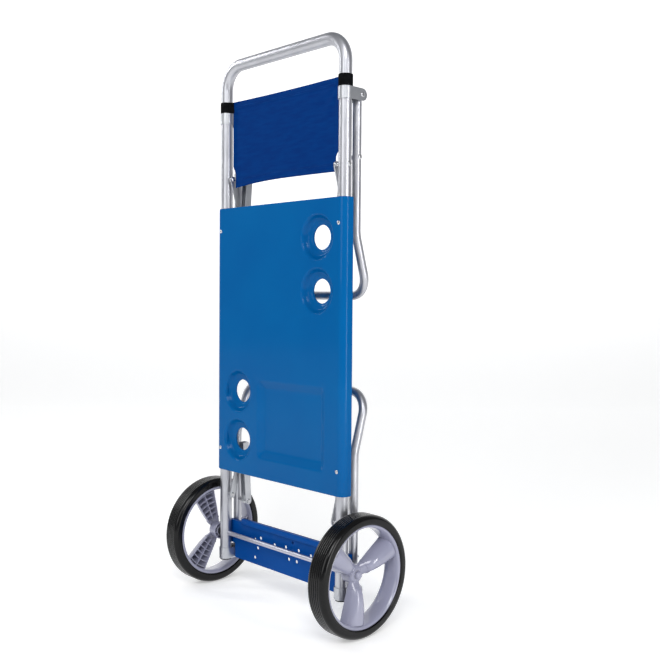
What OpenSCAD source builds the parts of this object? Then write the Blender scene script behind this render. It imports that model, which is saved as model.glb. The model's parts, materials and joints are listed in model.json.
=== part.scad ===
/* [Wheels] */
// Outer diameter of the tyres
wheel_d = 240; // [236:1:246]
// Width of a tyre
tyre_w = 44; // [40:1:46]
// Diameter of the moulded rim where it meets the tyre
rim_d = 202; // [196:1:206]
// Distance from the middle of the cart to the middle of a wheel
wheel_x = 235; // [234:1:240]
// Diameter of the axle rod
axle_d = 10; // [8:0.5:12]

/* [Frame] */
// Distance from the middle of the cart to the middle of a main tube
frame_x = 188; // [188:1:190]
// Outer diameter of the main tube
tube_d = 26; // [25:0.5:26]
// Wall of every tube
tube_wall = 1.5; // [1.2:0.1:2]
// Height of the top of the handle bow
frame_top = 1184; // [1160:1:1210]
// Height of the open lower ends of the main tube
frame_bottom = 62; // [60:1:62]
// Bend radius of the handle bow, to the middle of the tube
bow_r = 50; // [45:1:70]

/* [Table board] */
// Height of the lower edge of the board
board_bottom = 265; // [264:0.5:266]
// Height of the upper edge of the board
board_top = 858.5; // [856:0.5:860]
// Thickness of the moulded skin
board_skin = 3; // [2.5:0.25:3]
// How far the sides reach back behind the middle of the main tubes
board_side = 8; // [4:1:8]
// Sideways distance of the cup recesses from the middle
cup_x = 126; // [124:1:127]
// Height of the outer pair of cup recesses above and below the board's middle
cup_far = 219; // [216:1:222]
// Height of the inner pair of cup recesses above and below the board's middle
cup_near = 111; // [108:1:114]
// Diameter of a cup recess at the board's face
cup_d = 90; // [84:1:92]
// Diameter of the hole in the floor of a cup recess
cup_hole_d = 50; // [46:1:54]

/* [Legs] */
// Outer diameter of the leg tube
leg_d = 18; // [18:0.5:18]
// Distance of the leg pivots behind the main tubes
leg_y = 33; // [33:1:34]
// Height of the upper leg pivot
upper_pivot_z = 1058; // [1056:1:1060]
// Height of the lower leg pivot
lower_pivot_z = 74; // [73:1:76]
// Straight length from a pivot to the kink
leg_straight = 265; // [260:1:268]
// Straight length between the kink and the corner
leg_foot = 72; // [66:1:76]
// Bend radius of a leg's corners
leg_corner_r = 45; // [40:1:55]

/* [Folding stays] */
// Distance from a leg pivot to the stay rivet on the main tube, along the tube
stay_tube_z = 137; // [136:1:138]
// Distance from a leg pivot to the stay rivet on the leg
stay_leg_z = 120; // [119:1:121]
// Length of the channel link between its rivets
stay_link_l = 109.5; // [109:0.5:110]
// Width of the flat arm
stay_arm_w = 15; // [12:1:16]
// Width and depth of the channel link
stay_link_w = 16; // [14:1:16]

/* [Load platform] */
// Height of the platform's lower edge
platform_bottom = 63; // [62:1:66]
// Height of the platform's lip
platform_top = 158; // [154:1:160]
// Distance from the middle of the cart to the platform's ends
platform_x = 195; // [190:1:196]

/* [Storage panel] */
// Width of the fabric panel
panel_w = 340; // [330:1:340]
// Height of the panel's lower hem
panel_bottom = 910; // [906:1:915]
// Height of the panel's upper hem
panel_top = 1094; // [1085:1:1094]
// Width of the webbing loops
strap_w = 24; // [20:1:24]

/* [Hidden] */
$fn = 64;

fit = 0.05;                       // radial clearance of a pin in its bore
gap = 0.1;                        // clearance between faces that only touch
rivet_d = 5;
rivet_head_d = 10;
rivet_head_h = 1.8;
tube_r = tube_d / 2;
leg_r = leg_d / 2;
axle_z = wheel_d / 2;
bow_z = frame_top - tube_r;       // middle of the handle bow's tube

leg_kink = atan2(7, 24);          // the kink leans 7 back in 24 down

// Table board
board_face = tube_r + board_skin + 0.5;             // the face lies at y = -board_face
board_mid = (board_top + board_bottom) / 2;
board_h = board_top - board_bottom;
cup_depth = 15.5;
cup_floor = 2.5;
cup_floor_d = cup_d - 14;
cup_places = [
    [cup_x, board_mid + cup_far], [cup_x, board_mid + cup_near],
    [-cup_x, board_mid - cup_near], [-cup_x, board_mid - cup_far]
];
tray_size = [200, 162];           // width and height of the shallow tray in the board
tray_depth = 9;
tray_place = [50, 397];           // middle of the tray, sideways and up
board_rib_depth = 9;
screw_inset = 52.5;                 // board screws, in from the upper and lower edges
screw_head_d = 8;
screw_head_h = 1.5;

// Brackets that carry the legs
bracket_t = 2;
bracket_h = 24;
ear_in = tube_r + fit;            // inner faces of the two ears, from the tube's middle
ear_r = bracket_h / 2;

// Folding stays, in the plane of the leg, measured from the leg's pivot
stay_span = sqrt((stay_leg_z + leg_y) ^ 2 + stay_tube_z ^ 2);   // rivet to rivet with the leg opened
stay_arm_l = stay_span - stay_link_l;
rest_dy = leg_y;
rest_dz = stay_tube_z - stay_leg_z;
rest_span = sqrt(rest_dy ^ 2 + rest_dz ^ 2);                    // rivet to rivet with the leg folded
rest_aim = atan2(rest_dz, rest_dy);
rest_corner = acos((stay_arm_l ^ 2 + rest_span ^ 2 - stay_link_l ^ 2) / (2 * stay_arm_l * rest_span));
arm_tilt = 90 + rest_aim - rest_corner;                         // arm from the tube, 0 = along it
knee_y = -leg_y + stay_arm_l * sin(arm_tilt);
knee_z = stay_tube_z + stay_arm_l * cos(arm_tilt);
link_tilt = atan2(knee_y, knee_z - stay_leg_z);                 // link from the leg, 0 = along it
link_in = 146.5;                  // link's inner face, from the middle of the cart
link_t = 1.5;
link_tail = 26;                   // how far the channel runs on beyond the knee
arm_in = link_in + stay_link_w + 1;
arm_t = 3;
shoulder_d = 9;

// Load platform
platform_front = tube_r + 0.5;
platform_back = leg_y - leg_r - 0.1;
platform_skin = 2;
platform_lip_x = 141;             // the lip stops short of the stays
platform_lip = 7;
platform_lip_h = 12;
platform_notch_x = 171;           // the lower corners clear the main tubes as the platform turns
platform_notch_z = 96;
platform_shoulder_z = 148;        // the upper corners clear the stays
drain_d = 7;
drain_places = [
    [-100, 78], [-100, 119], [-90, 101], [-80, 125], [-33, 120], [4, 123], [14, 99], [26, 137],
    [26, 117], [39, 99], [45, 124], [83, 121], [97, 104], [104, 82]
];
platform_screw_z = [112, 138];
platform_screw_d = 4;

// Wheels
hub_d = 38;
hub_in = 205.5;                   // inner end of the hub, from the middle of the cart
hub_out = 232;
bush_d = 16;
rim_wall = 5;
rim_lip = 3;
tyre_in = rim_d / 2 - rim_lip;
tyre_round = 11;
spoke_count = 3;
spoke_lean_right = -94;           // the right wheel's first spoke points down
spoke_lean_left = -8;             // the left wheel's first spoke points back
spoke_t = 4;
spoke_face = 9;                   // outer face of the spokes, outwards from the wheel's middle
spoke_rib_depth = 14;
groove_count = 5;

// Fabric
panel_y = 1;
panel_t = 5;
panel_notch = [9.5, 28];          // the lower corners clear the arms in every pose
strap_t = 1.8;

// Cylinder along X, centred on x
module along_x(x, l, d) {
    translate([x - l / 2, 0, 0]) rotate([0, 90, 0]) cylinder(h = l, d = d);
}

// Cylinder along Y from y0 to y1
module along_y(y0, y1, d) {
    translate([0, y1, 0]) rotate([90, 0, 0]) cylinder(h = y1 - y0, d = d);
}

// The same shape on the right (+X) and on the left
module both_sides() {
    children();
    mirror([1, 0, 0]) children();
}

// A shape modelled for the right side, moved to the left when side is "left"
module on_side(side) {
    mirror([side == "left" ? 1 : 0, 0, 0]) children();
}

// Leg frame: origin on the pivot, the leg towards -Z; "lower" turns it upside down
module at_pivot(end) {
    translate([0, leg_y, end == "upper" ? upper_pivot_z : lower_pivot_z])
        mirror([0, 0, end == "upper" ? 0 : 1])
            children();
}

// Quarter or part bend of a round bar, in the XY plane from +X
module bend(r, a, d) {
    rotate_extrude(angle = a) translate([r, 0]) circle(d = d);
}

// ---- Frame ----

// Half of the inverted U, as a solid bar
module frame_half(d, extra) {
    straight_top = bow_z - bow_r;
    translate([frame_x, 0, frame_bottom - extra]) cylinder(h = straight_top - frame_bottom + extra, d = d);
    translate([frame_x - bow_r, 0, straight_top]) rotate([90, 0, 0]) bend(bow_r, 90, d);
    translate([0, 0, bow_z]) along_x((frame_x - bow_r) / 2, frame_x - bow_r, d);
}

module frame_cross_holes() {
    translate([frame_x, 0, axle_z]) along_x(0, tube_d + 4, axle_d + 2 * fit);
    for (z = [upper_pivot_z - stay_tube_z, lower_pivot_z + stay_tube_z])
        translate([frame_x, 0, z]) along_x(0, tube_d + 4, rivet_d + 2 * fit);
    for (z = [board_bottom + screw_inset, board_top - screw_inset])
        translate([frame_x, 0, z]) along_y(-tube_d, 0, 3.2);
}

module frame_tube() {
    color("silver") difference() {
        both_sides() frame_half(tube_d, 0);
        both_sides() frame_half(tube_d - 2 * tube_wall, 1);
        both_sides() frame_cross_holes();
    }
}

module tube_plug(side) {
    color("dimgray") on_side(side) translate([frame_x, 0, frame_bottom]) {
        translate([0, 0, -3.1]) cylinder(h = 3, d = tube_d);
        translate([0, 0, -0.2]) cylinder(h = 14, d = tube_d - 2 * tube_wall - 2 * fit);
    }
}

// ---- Table board ----

// Half of the board's cross-section, seen from above
module board_section() {
    skin_in = board_face - board_skin;
    translate([0, -board_face]) square([frame_x, board_skin]);
    intersection() {
        translate([frame_x, 0]) difference() {
            circle(r = board_face);
            circle(r = skin_in);
        }
        translate([frame_x, -board_face]) square([board_face, board_face]);
    }
    translate([frame_x + skin_in, 0]) square([board_skin, board_side]);
}

// Dished cup recess round the Y axis, with its face at y = 0 and its floor behind
module cup_wall() {
    rotate([-90, 0, 0]) rotate_extrude() polygon([
        [cup_hole_d / 2, cup_depth - cup_floor], [cup_floor_d / 2, cup_depth - cup_floor],
        [cup_d / 2, 0], [cup_d / 2 + board_skin, 0],
        [cup_floor_d / 2 + board_skin, cup_depth], [cup_hole_d / 2, cup_depth]
    ]);
}

module tray_outline(grow) {
    r = 12 + grow;
    w = tray_size[0] + 2 * grow;
    h = tray_size[1] + 2 * grow;
    for (sx = [-1, 1])
        for (sz = [-1, 1])
            translate([sx * (w / 2 - r), sz * (h / 2 - r)]) circle(r = r);
    square([w - 2 * r, h], center = true);
    square([w, h - 2 * r], center = true);
}

// Stands a flat outline up in the plane y, t thick towards +Y
module standing(y, t) {
    translate([0, y + t, 0]) rotate([90, 0, 0]) linear_extrude(t) children();
}

module board_ribs() {
    rib_t = 2.2;
    y0 = -board_face + board_skin - 0.01;
    for (x = [-70, 0])
        translate([x, y0, board_mid + 20]) cube([rib_t, board_rib_depth, board_h / 2 - 30]);
    for (z = [board_mid - 30, board_mid + 30])
        translate([-165, y0, z]) cube([330, board_rib_depth, rib_t]);
    for (z = [board_bottom, board_top - board_skin])
        translate([-170, y0, z]) cube([340, board_rib_depth, board_skin]);
}

module table_board() {
    color("dodgerblue") difference() {
        union() {
            difference() {
                union() {
                    translate([0, 0, board_bottom]) linear_extrude(board_h) both_sides() board_section();
                    board_ribs();
                    translate([tray_place[0], 0, tray_place[1]])
                        standing(-board_face, tray_depth + board_skin) tray_outline(board_skin);
                }
                for (p = cup_places)
                    translate([p[0], 0, p[1]]) along_y(-board_face - 1, 20, cup_d + board_skin);
                translate([tray_place[0], 0, tray_place[1]])
                    standing(-board_face - 1, tray_depth + 1) tray_outline(0);
            }
            for (p = cup_places)
                translate([p[0], -board_face, p[1]]) cup_wall();
        }
        both_sides() for (z = [board_bottom + screw_inset, board_top - screw_inset])
            translate([frame_x, 0, z]) {
                along_y(-board_face - 1, 0, 4.2);
                along_y(-board_face - 1, -board_face + screw_head_h + 2 * gap, screw_head_d + 0.4);
            }
    }
}

// Heads sunk level with the board's face
module board_screws() {
    color("lightgray") both_sides() for (z = [board_bottom + screw_inset, board_top - screw_inset])
        translate([frame_x, 0, z]) {
            along_y(-board_face + gap, -board_face + gap + screw_head_h, screw_head_d);
            along_y(-board_face + 1, -tube_r + 4, 3);
        }
}

// ---- Storage panel and its webbing loops ----

module storage_panel() {
    w = panel_w - 2 * panel_notch[0];
    color("navy") {
        translate([-panel_w / 2, panel_y, panel_bottom + panel_notch[1]])
            cube([panel_w, panel_t, panel_top - panel_bottom - panel_notch[1]]);
        translate([-w / 2, panel_y, panel_bottom]) cube([w, panel_t, panel_notch[1] + 1]);
    }
}

module strap(side) {
    strap_r = tube_r + 0.15;
    color("black") on_side(side) translate([0, 0, panel_top - strap_w]) linear_extrude(strap_w) {
        translate([frame_x, 0]) difference() {
            circle(r = strap_r + strap_t);
            circle(r = strap_r);
        }
        translate([panel_w / 2 + gap, panel_y]) square([frame_x - strap_r - panel_w / 2 - 0.4, 2 * strap_t]);
    }
}

// ---- Leg brackets ----

module bracket(end, side) {
    color("gainsboro") on_side(side) at_pivot(end) difference() {
        union() {
            translate([frame_x, -leg_y, -bracket_h / 2]) linear_extrude(bracket_h) {
                difference() {
                    circle(r = ear_in + bracket_t);
                    circle(r = ear_in);
                    translate([-tube_d, 0]) square([2 * tube_d, tube_d]);
                }
                for (x = [-ear_in - bracket_t, ear_in])
                    translate([x, 0]) square([bracket_t, leg_y]);
            }
            for (sx = [-1, 1])
                translate([frame_x, 0, 0]) along_x(sx * (ear_in + bracket_t / 2), bracket_t, 2 * ear_r);
        }
        along_x(frame_x, tube_d + 10, rivet_d + 2 * fit);
    }
}

module pivot_rivets(end) {
    ear_out = ear_in + bracket_t;
    color("whitesmoke") both_sides() at_pivot(end) {
        along_x(frame_x, 2 * ear_out + 0.4, rivet_d);
        for (sx = [-1, 1])
            along_x(frame_x + sx * (ear_out + gap + rivet_head_h / 2), rivet_head_h, rivet_head_d);
    }
}

module pivot_washers(end) {
    room = ear_in - leg_r;
    color("dimgray") both_sides() at_pivot(end) for (sx = [-1, 1])
        difference() {
            along_x(frame_x + sx * (leg_r + room / 2), room - 0.2, 14);
            along_x(frame_x + sx * (leg_r + room / 2), room + 1, rivet_d + 2 * fit);
        }
}

// ---- Axle and wheels ----

module axle() {
    color("silver") translate([0, 0, axle_z]) along_x(0, 2 * (hub_out + 3), axle_d);
}

module axle_washers() {
    x0 = frame_x + tube_r + gap;
    x1 = hub_in - gap;
    color("dimgray") both_sides() translate([0, 0, axle_z]) difference() {
        along_x((x0 + x1) / 2, x1 - x0, 20);
        along_x((x0 + x1) / 2, 20, axle_d + 2 * fit);
    }
}

module hub_cap(side) {
    color("slategray") on_side(side) translate([0, 0, axle_z]) difference() {
        along_x(hub_out + 0.3 + 3.5, 7, 16);
        along_x(hub_out, 2 * 3.2, axle_d + 2 * fit);
    }
}

// Barrel of the rim round the X axis, centred on the wheel's middle
module rim_barrel() {
    half = tyre_w / 2 - 2;
    rotate([0, 90, 0]) rotate_extrude() polygon([
        [tyre_in - rim_wall, -half], [rim_d / 2, -half], [rim_d / 2, -half + 2.5], [tyre_in, -half + 6],
        [tyre_in, half - 6], [rim_d / 2, half - 2.5], [rim_d / 2, half], [tyre_in - rim_wall, half]
    ]);
}

// Petal outline from the hub to the barrel, along +X in its own plane
module petal() {
    r_end = tyre_in - rim_wall + 1;
    intersection() {
        polygon([
            [14, -13], [27, -15], [45, -20], [65, -27], [r_end + 4, -36],
            [r_end + 4, 36], [65, 27], [45, 20], [27, 15], [14, 13]
        ]);
        circle(r = r_end);
    }
}

module spoke() {
    // the petal, turned into the wheel's plane
    translate([spoke_face - spoke_t, 0, 0]) rotate([90, 0, 90]) linear_extrude(spoke_t) petal();
    // longitudinal and cross ribs on the inner side
    translate([spoke_face - spoke_t - spoke_rib_depth, hub_d / 2 - 2, -1.2])
        cube([spoke_rib_depth + 1, tyre_in - rim_wall - hub_d / 2 + 2.5, 2.4]);
    for (rib = [[34, 12], [48, 18], [62, 23], [76, 27]])
        translate([spoke_face - spoke_t - spoke_rib_depth, rib[0], -rib[1]])
            cube([spoke_rib_depth + 1, 2.4, 2 * rib[1]]);
}

module rim(side) {
    lean = side == "left" ? spoke_lean_left : spoke_lean_right;
    color("lightsteelblue") on_side(side) translate([wheel_x, 0, axle_z]) difference() {
        union() {
            rim_barrel();
            for (i = [0 : spoke_count - 1])
                rotate([lean + i * 360 / spoke_count, 0, 0]) spoke();
            along_x((hub_in + hub_out) / 2 - wheel_x, hub_out - hub_in, hub_d);
        }
        along_x(0, 4 * tyre_w, bush_d + 2 * fit);
    }
}

// Half of the tyre's section: bead on the rim's seat, side wall and rounded shoulder
function tyre_half_section() = concat(
    [[tyre_in + 0.3, tyre_w / 2 - 8], [rim_d / 2 + 0.3, tyre_w / 2 - 4.5], [rim_d / 2 + 0.3, tyre_w / 2]],
    [for (a = [90 : -10 : 0]) [
        wheel_d / 2 - tyre_round + tyre_round * cos(a), tyre_w / 2 - tyre_round + tyre_round * sin(a)
    ]]
);

module tyre(side) {
    half_section = tyre_half_section();
    last = len(half_section) - 1;
    color("black") on_side(side) translate([wheel_x, 0, axle_z]) rotate([0, 90, 0])
        rotate_extrude($fn = 96) difference() {
            polygon(concat(half_section, [for (i = [last : -1 : 0]) [half_section[i][0], -half_section[i][1]]]));
            for (i = [0 : groove_count - 1])
                translate([wheel_d / 2 - 0.8, (i - (groove_count - 1) / 2) * 5 - 0.6]) square([2, 1.2]);
        }
}

module hub_bush(side) {
    color("gainsboro") on_side(side) translate([0, 0, axle_z]) difference() {
        along_x((hub_in + hub_out) / 2, hub_out - hub_in, bush_d);
        along_x((hub_in + hub_out) / 2, 2 * hub_d, axle_d + 2 * fit);
    }
}

// ---- Legs ----

// Half of a leg as a solid bar: straight, kink, foot, corner and crossbar
module leg_half(d, extra) {
    kink_r = 60;
    translate([frame_x, 0, -leg_straight]) cylinder(h = leg_straight + 14 + extra, d = d);
    translate([frame_x, kink_r, -leg_straight]) rotate([90, 0, 90]) rotate([0, 0, 180])
        bend(kink_r, leg_kink, d);
    translate([0, kink_r, -leg_straight]) rotate([leg_kink, 0, 0]) translate([0, -kink_r, 0]) {
        translate([frame_x, 0, -leg_foot]) cylinder(h = leg_foot, d = d);
        translate([frame_x - leg_corner_r, 0, -leg_foot]) rotate([90, 0, 0]) rotate([0, 0, -90])
            bend(leg_corner_r, 90, d);
        translate([0, 0, -leg_foot - leg_corner_r])
            along_x((frame_x - leg_corner_r) / 2, frame_x - leg_corner_r, d);
    }
}

module leg_tube(end) {
    color("silver") at_pivot(end) difference() {
        both_sides() leg_half(leg_d, 0);
        both_sides() leg_half(leg_d - 2 * tube_wall, 1);
        for (z = [0, -stay_leg_z])
            translate([0, 0, z]) both_sides() along_x(frame_x, leg_d + 6, rivet_d + 2 * fit);
        if (end == "lower")
            for (z = platform_screw_z)
                both_sides() translate([frame_x, 0, lower_pivot_z - z])
                    along_y(-leg_r - 1, leg_r + 1, platform_screw_d + 2 * fit);
    }
}

// ---- Folding stays ----

// A part of a stay in the leg's frame, turned by a rivet at y, z and pointing along -Z at tilt 0
module stay_at(y, z, tilt) {
    translate([0, y, -z]) rotate([tilt, 0, 0]) children();
}

module stay_rivets(end) {
    x_head = frame_x + tube_r;
    color("whitesmoke") both_sides() at_pivot(end) translate([0, -leg_y, -stay_tube_z]) {
        along_x((x_head + arm_in) / 2, x_head - arm_in + 0.4, rivet_d);
        along_x(x_head + gap + rivet_head_h / 2, rivet_head_h, rivet_head_d);
        along_x(arm_in - gap - 0.9, 1.8, rivet_head_d);
        along_x((arm_in + arm_t + frame_x - tube_r) / 2, frame_x - tube_r - arm_in - arm_t - 2 * gap, shoulder_d);
    }
}

module link_rivets(end) {
    x_head = frame_x + leg_r;
    x_link = link_in + stay_link_w;
    color("whitesmoke") both_sides() at_pivot(end) translate([0, 0, -stay_leg_z]) {
        along_x((x_head + link_in) / 2, x_head - link_in + 0.4, rivet_d);
        along_x(x_head + gap + rivet_head_h / 2, rivet_head_h, rivet_head_d);
        along_x(link_in - gap - rivet_head_h / 2, rivet_head_h, rivet_head_d);
        along_x((x_link + frame_x - leg_r) / 2, frame_x - leg_r - x_link - 2 * gap, shoulder_d);
    }
}

module stay_arm(end, side) {
    color("lightgray") on_side(side) at_pivot(end) stay_at(-leg_y, stay_tube_z, arm_tilt)
        difference() {
            union() {
                for (z = [0, -stay_arm_l])
                    translate([0, 0, z]) along_x(arm_in + arm_t / 2, arm_t, stay_arm_w);
                translate([arm_in, -stay_arm_w / 2, -stay_arm_l]) cube([arm_t, stay_arm_w, stay_arm_l]);
            }
            for (z = [0, -stay_arm_l])
                translate([0, 0, z]) along_x(arm_in + arm_t / 2, 3 * arm_t, rivet_d + 2 * fit);
        }
}

module knee_rivet(end, side) {
    color("whitesmoke") on_side(side) at_pivot(end) stay_at(-leg_y, stay_tube_z, arm_tilt)
        translate([0, 0, -stay_arm_l]) {
            along_x(arm_in + arm_t / 2 + gap, arm_t, rivet_d);
            along_x(arm_in + arm_t + gap + rivet_head_h / 2 - 0.05, rivet_head_h, rivet_head_d);
        }
}

// U-shaped channel, open towards the board
module stay_link(end, side) {
    w = stay_link_w;
    l = stay_link_l + link_tail;
    color("silver") on_side(side) at_pivot(end) stay_at(0, stay_leg_z, link_tilt)
        difference() {
            union() {
                for (x = [link_in, link_in + w - link_t]) {
                    translate([0, 0, 0]) along_x(x + link_t / 2, link_t, w);
                    translate([x, -w / 2, -l]) cube([link_t, w, l]);
                }
                translate([link_in, w / 2 - link_t, -l]) cube([w, link_t, l - 8]);
            }
            for (z = [0, -stay_link_l])
                translate([0, 0, z]) along_x(link_in + w / 2, 2 * w, rivet_d + 2 * fit);
        }
}

// ---- Load platform ----

// Front outline of the right half of the platform
module platform_outline() {
    polygon([
        [-0.01, platform_bottom], [platform_notch_x, platform_bottom],
        [platform_notch_x, platform_notch_z], [platform_x, platform_notch_z],
        [platform_x, platform_shoulder_z], [platform_lip_x, platform_shoulder_z],
        [platform_lip_x, platform_top], [-0.01, platform_top]
    ]);
}

module platform_ribs() {
    depth = platform_back - platform_front;
    h = platform_shoulder_z - platform_bottom;
    for (x = [-171, -131, -56, -18, 18, 56, 131, 168.6])
        translate([x, platform_front, platform_bottom]) cube([2.4, depth, h]);
    for (z = [platform_bottom, platform_bottom + 25, platform_shoulder_z - 2.4])
        translate([-platform_notch_x, platform_front, z]) cube([2 * platform_notch_x, depth, 2.4]);
    both_sides() translate([platform_notch_x - 1, platform_front, platform_notch_z])
        cube([platform_x - platform_notch_x + 1, depth, platform_shoulder_z - platform_notch_z]);
}

module load_platform() {
    color("royalblue") difference() {
        union() {
            both_sides() standing(platform_front, platform_skin) platform_outline();
            platform_ribs();
            translate([-platform_lip_x, platform_front - platform_lip, platform_top - platform_lip_h])
                cube([2 * platform_lip_x, platform_lip + 1, 3]);
            translate([-platform_lip_x, platform_front - platform_lip, platform_top - platform_lip_h])
                cube([2 * platform_lip_x, 3, platform_lip_h]);
        }
        for (p = drain_places)
            translate([p[0], 0, p[1]]) along_y(0, 2 * leg_y, drain_d);
        both_sides() for (z = platform_screw_z)
            translate([frame_x, 0, z]) along_y(platform_front + 2, leg_y, platform_screw_d + 2 * fit);
    }
}

module platform_screws() {
    color("whitesmoke") both_sides() for (z = platform_screw_z)
        translate([frame_x, 0, z]) {
            along_y(platform_front + 2.5, leg_y + leg_r + 1, platform_screw_d);
            along_y(leg_y + leg_r + gap, leg_y + leg_r + 2.6, 8);
        }
}

frame_tube();
tube_plug("left");  // tube_plug_left
tube_plug("right");  // tube_plug_right
table_board();
board_screws();
storage_panel();
strap("left");  // strap_left
strap("right");  // strap_right
bracket("upper", "left");  // upper_bracket_left
bracket("upper", "right");  // upper_bracket_right
bracket("lower", "left");  // lower_bracket_left
bracket("lower", "right");  // lower_bracket_right
pivot_rivets("upper");  // upper_pivot_rivets
pivot_rivets("lower");  // lower_pivot_rivets
pivot_washers("upper");  // upper_pivot_washers
pivot_washers("lower");  // lower_pivot_washers
stay_rivets("upper");  // upper_stay_rivets
stay_rivets("lower");  // lower_stay_rivets
axle();
axle_washers();
hub_cap("left");  // hub_cap_left
hub_cap("right");  // hub_cap_right
rim("left");  // rim_left
tyre("left");  // tyre_left
hub_bush("left");  // hub_bush_left
rim("right");  // rim_right
tyre("right");  // tyre_right
hub_bush("right");  // hub_bush_right
leg_tube("upper");  // upper_leg_tube
link_rivets("upper");  // upper_link_rivets
leg_tube("lower");  // lower_leg_tube
load_platform();
platform_screws();
link_rivets("lower");  // lower_link_rivets
stay_arm("upper", "left");  // upper_arm_left
stay_arm("upper", "right");  // upper_arm_right
stay_arm("lower", "left");  // lower_arm_left
stay_arm("lower", "right");  // lower_arm_right
knee_rivet("upper", "left");  // upper_knee_rivet_left
knee_rivet("upper", "right");  // upper_knee_rivet_right
knee_rivet("lower", "left");  // lower_knee_rivet_left
knee_rivet("lower", "right");  // lower_knee_rivet_right
stay_link("upper", "left");  // upper_link_left
stay_link("upper", "right");  // upper_link_right
stay_link("lower", "left");  // lower_link_left
stay_link("lower", "right");  // lower_link_right
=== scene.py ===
"""Folding beach cart: moulded board, wheels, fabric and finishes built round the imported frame."""

import json
import math

import bmesh
import bpy
import numpy as np
from mathutils import Matrix, Vector
from mathutils.geometry import delaunay_2d_cdt


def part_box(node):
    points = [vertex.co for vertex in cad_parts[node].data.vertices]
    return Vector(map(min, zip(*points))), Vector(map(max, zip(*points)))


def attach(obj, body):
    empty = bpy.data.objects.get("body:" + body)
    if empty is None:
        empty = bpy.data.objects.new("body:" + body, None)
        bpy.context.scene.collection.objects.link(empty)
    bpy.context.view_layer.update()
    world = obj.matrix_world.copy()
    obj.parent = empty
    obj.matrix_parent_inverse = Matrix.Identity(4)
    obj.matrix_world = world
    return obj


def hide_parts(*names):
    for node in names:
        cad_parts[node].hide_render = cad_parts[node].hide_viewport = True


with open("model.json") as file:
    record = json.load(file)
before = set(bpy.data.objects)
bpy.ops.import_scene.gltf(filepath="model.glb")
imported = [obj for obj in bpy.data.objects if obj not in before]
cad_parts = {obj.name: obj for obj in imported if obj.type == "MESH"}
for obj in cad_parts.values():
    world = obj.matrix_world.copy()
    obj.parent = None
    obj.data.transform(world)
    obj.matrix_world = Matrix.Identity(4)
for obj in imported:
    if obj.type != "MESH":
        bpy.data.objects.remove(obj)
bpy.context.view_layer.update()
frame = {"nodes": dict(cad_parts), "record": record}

MM = 0.001
TURN = 2 * math.pi
MERGE = 1e-6  # points closer than this, in metres, are one point


def box(node):
    """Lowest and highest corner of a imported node, in mm."""
    low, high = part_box(node)
    return np.array(low) / MM, np.array(high) / MM


# the main tubes: their radius, and how far each stands from the middle of the cart
TUBE_R = box("frame_tube")[1][1]
TUBE_X = box("frame_tube")[1][0] - TUBE_R
VIEW_AZIMUTH, VIEW_TILT, VIEW_ROLL = math.radians(45.83), math.radians(2.28), math.radians(0.45)
CAMERA_PLACE, SENSOR_MM, LENS_MM = (1.3993, -1.2139, 0.6647), 36.0, 47.62


# ---- Surfaces, all in mm: a part is its points and a list of face arrays ----


def grid(points, close_rows=False, close_columns=False):
    """Quads between neighbours in an array of points, rows x columns x 3."""
    rows, columns = points.shape[:2]
    r = np.arange(rows if close_rows else rows - 1)[:, None]
    c = np.arange(columns if close_columns else columns - 1)[None, :]
    r_next, c_next = (r + 1) % rows, (c + 1) % columns
    corners = (
        r * columns + c, r * columns + c_next, r_next * columns + c_next, r_next * columns + c
    )
    return points.reshape(-1, 3), [np.stack(np.broadcast_arrays(*corners), axis=-1).reshape(-1, 4)]


def shell(front, back):
    """Two surfaces on the same grid, joined along their border into one closed skin."""
    points, (quads,) = grid(front)
    ids = np.arange(len(points)).reshape(front.shape[:2])
    border = np.concatenate([ids[0], ids[1:, -1], ids[-1, -2::-1], ids[-2:0:-1, 0]])
    following = np.roll(border, -1)
    rim = np.stack([following, border, border + len(points), following + len(points)], axis=1)
    return np.concatenate([points, back.reshape(-1, 3)]), [quads, quads[:, ::-1] + len(points), rim]


def capped(points):
    """A section carried along a path, closed at both ends on the section's middle."""
    first = np.broadcast_to(points[:1].mean(axis=1, keepdims=True), points[:1].shape)
    last = np.broadcast_to(points[-1:].mean(axis=1, keepdims=True), points[-1:].shape)
    return grid(np.concatenate([first, points, last]), close_columns=True)


def turned(profile, count, closed):
    """Points (radius, along) carried round the X axis: x = along, y = r cos a, z = r sin a."""
    radius, along = np.array(profile, float).T[:, :, None]
    a = np.linspace(0, TURN, count, endpoint=False)[None, :]
    x = np.broadcast_to(along, (len(profile), count))
    return grid(np.stack([x, radius * np.cos(a), radius * np.sin(a)], axis=-1), closed, True)


def blocks(lows, highs):
    """Boxes between pairs of corners."""
    lows, highs = np.atleast_2d(lows).astype(float), np.atleast_2d(highs).astype(float)
    pick = np.indices((2, 2, 2)).reshape(3, 8).T.astype(bool)
    points = np.where(pick[None], highs[:, None], lows[:, None])
    sides = np.array([
        (0, 1, 3, 2), (4, 6, 7, 5), (0, 4, 5, 1), (2, 3, 7, 6), (0, 2, 6, 4), (1, 5, 7, 3),
    ])
    faces = sides[None] + 8 * np.arange(len(lows))[:, None, None]
    return points.reshape(-1, 3), [faces.reshape(-1, 4)]


def ribs(spans, near, far):
    """Ribs as boxes over rows of (x from, x to, z from, z to), all reaching from y = near to y = far."""
    x0, x1, z0, z1 = np.array(spans, float).T
    y0, y1 = np.full_like(x0, near), np.full_like(x0, far)
    return blocks(np.stack([x0, y0, z0], axis=1), np.stack([x1, y1, z1], axis=1))


def join(*parts):
    """Several parts as one, with the faces of each counted on from the one before."""
    starts = np.cumsum([0] + [len(points) for points, _ in parts])
    faces = [array + start for (_, arrays), start in zip(parts, starts) for array in arrays]
    return np.concatenate([points for points, _ in parts]), faces


def moved(part, matrix):
    """The part with every point turned and shifted by the matrix."""
    points, faces = part
    matrix = np.array(matrix)
    return points @ matrix[:3, :3].T + matrix[:3, 3], faces


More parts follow.
